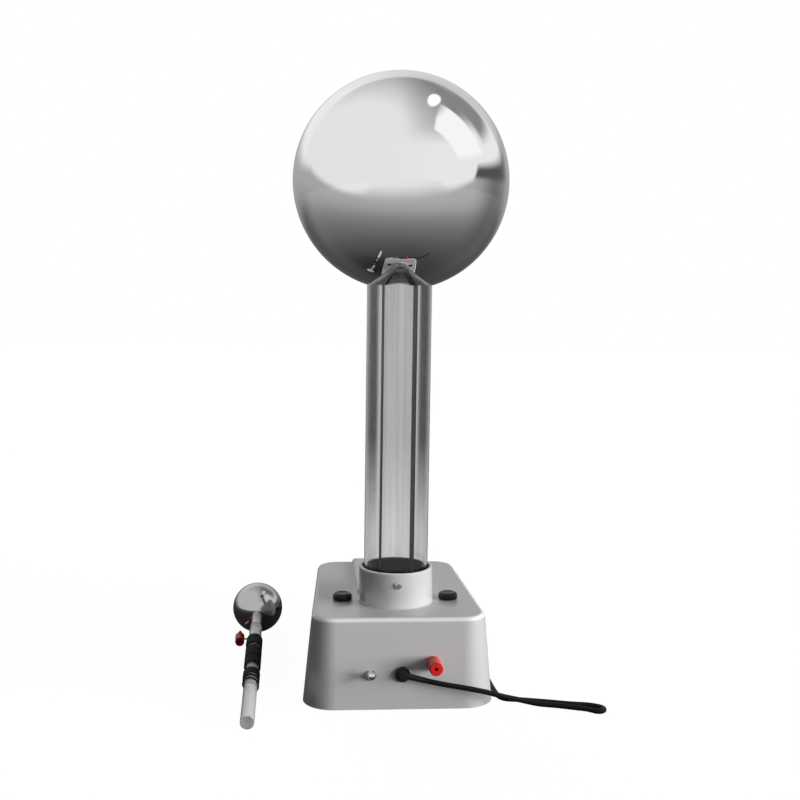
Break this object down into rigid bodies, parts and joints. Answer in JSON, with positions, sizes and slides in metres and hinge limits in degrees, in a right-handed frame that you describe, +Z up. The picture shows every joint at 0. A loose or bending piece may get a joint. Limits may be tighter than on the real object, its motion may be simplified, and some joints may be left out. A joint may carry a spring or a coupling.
{
  "type": "van de graaff generator",
  "caption": "Belt-driven electrostatic generator: metal dome on a clear column over a silver housing, with switch, red earth post, mains cord and a discharge wand beside it.",
  "frame": {"origin": "on the standing surface, under the axis of the column", "axes": "+Z up along the column, -Y towards the front with switch, cord and earth post, +X to the right seen from the front"},
  "size_m": [0.4415, 0.4536, 0.725],
  "materials": {
    "satin_silver": "satin silver paint",
    "spun_metal": "polished spun metal",
    "brushed_collar": "brushed",
    "zinc_sheet": "zinc plated sheet",
    "bright_steel": "plated",
    "fixings": "zinc plated",
    "brass": "turned",
    "clear_tube": "clear acrylic",
    "clear_rod": "clear acrylic",
    "black_rubber": "matt",
    "black_plastic": "moulded",
    "gloss_black": "moulded, semi gloss",
    "red_plastic": "moulded",
    "pale_plastic": "moulded",
    "dark_can": "painted steel can",
    "aluminium": "machined",
    "cord_cover": "smooth cord sheath"
  },
  "bodies": {
    "machine": {"housing_shell": "satin_silver", "top_spine": "satin_silver", "base_plate": "zinc_sheet", "foot_pad": "black_rubber", "base_screws": "fixings", "top_screws": "fixings", "chassis_bracket": "zinc_sheet", "clamp_studs": "fixings", "column_collar": "brushed_collar", "collar_screws": "fixings", "tube_bush": "black_rubber", "column_tube": "clear_tube", "drive_belt": "black_rubber", "motor_body": "dark_can", "motor_screws": "fixings", "front_bearing": "brass", "comb_rail": "aluminium", "rail_screws": "fixings", "lower_comb": "brass", "comb_screws": "fixings", "upper_yoke": "pale_plastic", "upper_bushes": "brass", "upper_comb_rail": "aluminium", "upper_comb": "brass", "dome_seat": "bright_steel", "contact_strip": "brass", "toggle_body": "bright_steel", "toggle_nut": "bright_steel", "post_stem": "brass", "post_flange": "red_plastic", "post_nut": "fixings", "strain_relief": "black_plastic", "relief_nut": "black_plastic", "mains_cord": "cord_cover", "cord_coil": "cord_cover", "plug_lead": "cord_cover", "cord_tie": "black_plastic", "plug_body": "black_plastic", "plug_pins": "bright_steel", "terminal_block": "pale_plastic"},
    "dome": {"dome_shell": "spun_metal", "dome_rim": "spun_metal"},
    "lower_drive": {"lower_roller": "pale_plastic", "motor_shaft": "bright_steel"},
    "upper_drive": {"upper_roller": "aluminium", "upper_axle": "bright_steel"},
    "switch_lever": {"toggle_lever": "bright_steel"},
    "earth_cap": {"post_cap": "red_plastic"},
    "left_nut": {"left_thumb_nut": "gloss_black"},
    "right_nut": {"right_thumb_nut": "gloss_black"},
    "wand": {"wand_ball": "spun_metal", "wand_stem": "aluminium", "wand_rod": "clear_rod", "wand_lead_winding": "cord_cover", "wand_lead_turns": "cord_cover", "wand_lead": "cord_cover", "wand_plug": "red_plastic", "wand_plug_pin": "bright_steel"}
  },
  "joints": [
    {"name": "dome_lift", "type": "slide", "parent": "machine", "child": "dome", "axis": [0, 0, 1], "range_m": [0, 0.2]},
    {"name": "lower_spin", "type": "hinge", "parent": "machine", "child": "lower_drive", "pos_m": [0, 0, 0.05], "axis": [0, 1, 0], "continuous": true},
    {"name": "upper_spin", "type": "hinge", "parent": "machine", "child": "upper_drive", "pos_m": [0, 0, 0.572], "axis": [0, 1, 0], "continuous": true},
    {"name": "lever_throw", "type": "hinge", "parent": "machine", "child": "switch_lever", "pos_m": [-0.0333, -0.08775, 0.04074], "axis": [1, 0, 0], "range_deg": [0, 24]},
    {"name": "cap_turn", "type": "hinge", "parent": "machine", "child": "earth_cap", "pos_m": [0.038, -0.09395, 0.05465], "axis": [0, -0.9955, 0.0948], "continuous": true},
    {"name": "left_nut_turn", "type": "hinge", "parent": "machine", "child": "left_nut", "pos_m": [-0.0635, 0, 0.109], "axis": [0, 0, 1], "continuous": true},
    {"name": "right_nut_turn", "type": "hinge", "parent": "machine", "child": "right_nut", "pos_m": [0.0635, 0, 0.109], "axis": [0, 0, 1], "continuous": true},
    {"name": "wand_lift", "type": "slide", "parent": "machine", "child": "wand", "axis": [0, 0, 1], "range_m": [0, 0.2]}
  ],
  "couplings": [
    {"joint": "upper_spin", "follows": "lower_spin", "ratio": 1}
  ]
}
